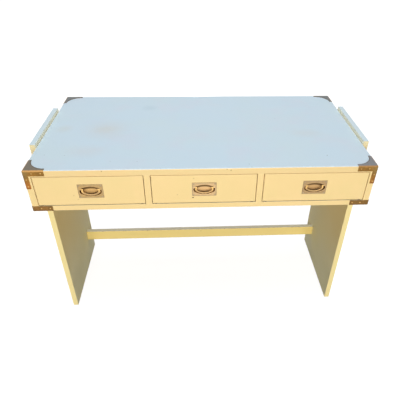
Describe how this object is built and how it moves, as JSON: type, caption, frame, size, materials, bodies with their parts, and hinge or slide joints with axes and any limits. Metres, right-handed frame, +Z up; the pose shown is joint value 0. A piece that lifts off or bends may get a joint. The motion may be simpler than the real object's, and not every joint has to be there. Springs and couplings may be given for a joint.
{
  "type": "campaign desk",
  "caption": "Campaign-style writing desk: a lacquered case with inset drawers, flush bail pulls and brass corners, on slab legs joined by a low stretcher.",
  "frame": {"origin": "on the floor, under the middle of the case", "axes": "+X to the right along the desk, +Y from the drawer fronts to the back, +Z up"},
  "size_m": [1.19, 0.6087, 0.783],
  "materials": {
    "desktop_lacquer": "pale satin lacquer with a cool cast",
    "case_lacquer": "warm cream satin lacquer",
    "rail_lacquer": "warm cream satin lacquer, paler on top",
    "drawer_lacquer": "warm cream satin lacquer",
    "bare_wood": "planed poplar, unfinished",
    "drawer_wood": "planed poplar with a thin clear coat",
    "drawer_hardboard": "smooth hardboard",
    "dowel_beech": "plain beech",
    "bracket_brass": "aged brown brass",
    "pin_brass": "worn bright brass",
    "pull_brass": "satin brass with tarnish",
    "bail_brass": "polished brass, rubbed bright",
    "screw_brass": "satin brass",
    "screw_steel": "zinc plated",
    "shoe_nylon": "moulded nylon",
    "tack_nylon": "moulded nylon",
    "foot_nylon": "moulded nylon"
  },
  "bodies": {
    "case": {"back_left_bottom_strap": "bracket_brass", "back_left_top_bracket": "bracket_brass", "back_right_bottom_strap": "bracket_brass", "back_right_top_bracket": "bracket_brass", "bracket_pins": "pin_brass", "case_back": "case_lacquer", "case_bottom": "case_lacquer", "cleat_screws": "screw_steel", "desktop": "desktop_lacquer", "dowels": "dowel_beech", "drawer_stops": "bare_wood", "floor_glides": "foot_nylon", "front_left_bottom_strap": "bracket_brass", "front_left_top_bracket": "bracket_brass", "front_right_bottom_strap": "bracket_brass", "front_right_top_bracket": "bracket_brass", "glide_tacks": "tack_nylon", "left_carry_rail": "rail_lacquer", "left_drawer_guide": "bare_wood", "left_end_panel": "case_lacquer", "left_leg_cleat": "bare_wood", "left_leg_panel": "case_lacquer", "left_partition": "case_lacquer", "middle_drawer_guide": "bare_wood", "rail_screws": "screw_steel", "right_carry_rail": "rail_lacquer", "right_drawer_guide": "bare_wood", "right_end_panel": "case_lacquer", "right_leg_cleat": "bare_wood", "right_leg_panel": "case_lacquer", "right_partition": "case_lacquer", "stretcher": "case_lacquer"},
    "left_drawer": {"left_drawer_front": "drawer_lacquer", "left_drawer_left_side": "drawer_wood", "left_drawer_right_side": "drawer_wood", "left_drawer_back": "drawer_wood", "left_drawer_bottom": "drawer_hardboard", "left_drawer_shoe": "shoe_nylon", "left_pull_plate": "pull_brass", "left_pull_screws": "screw_brass"},
    "left_bail": {"left_pull_bail": "bail_brass"},
    "middle_drawer": {"middle_drawer_front": "drawer_lacquer", "middle_drawer_left_side": "drawer_wood", "middle_drawer_right_side": "drawer_wood", "middle_drawer_back": "drawer_wood", "middle_drawer_bottom": "drawer_hardboard", "middle_drawer_shoe": "shoe_nylon", "middle_pull_plate": "pull_brass", "middle_pull_screws": "screw_brass"},
    "middle_bail": {"middle_pull_bail": "bail_brass"},
    "right_drawer": {"right_drawer_front": "drawer_lacquer", "right_drawer_left_side": "drawer_wood", "right_drawer_right_side": "drawer_wood", "right_drawer_back": "drawer_wood", "right_drawer_bottom": "drawer_hardboard", "right_drawer_shoe": "shoe_nylon", "right_pull_plate": "pull_brass", "right_pull_screws": "screw_brass"},
    "right_bail": {"right_pull_bail": "bail_brass"}
  },
  "joints": [
    {"name": "left_drawer_slide", "type": "slide", "parent": "case", "child": "left_drawer", "axis": [0, -1, 0], "range_m": [0, 0.36]},
    {"name": "left_bail_swing", "type": "hinge", "parent": "left_drawer", "child": "left_bail", "pos_m": [-0.3735, -0.3016, 0.69614], "axis": [-1, 0, 0], "range_deg": [0, 90]},
    {"name": "middle_drawer_slide", "type": "slide", "parent": "case", "child": "middle_drawer", "axis": [0, -1, 0], "range_m": [0, 0.36]},
    {"name": "middle_bail_swing", "type": "hinge", "parent": "middle_drawer", "child": "middle_bail", "pos_m": [0, -0.3016, 0.69614], "axis": [-1, 0, 0], "range_deg": [0, 90]},
    {"name": "right_drawer_slide", "type": "slide", "parent": "case", "child": "right_drawer", "axis": [0, -1, 0], "range_m": [0, 0.36]},
    {"name": "right_bail_swing", "type": "hinge", "parent": "right_drawer", "child": "right_bail", "pos_m": [0.3735, -0.3016, 0.69614], "axis": [-1, 0, 0], "range_deg": [0, 90]}
  ]
}
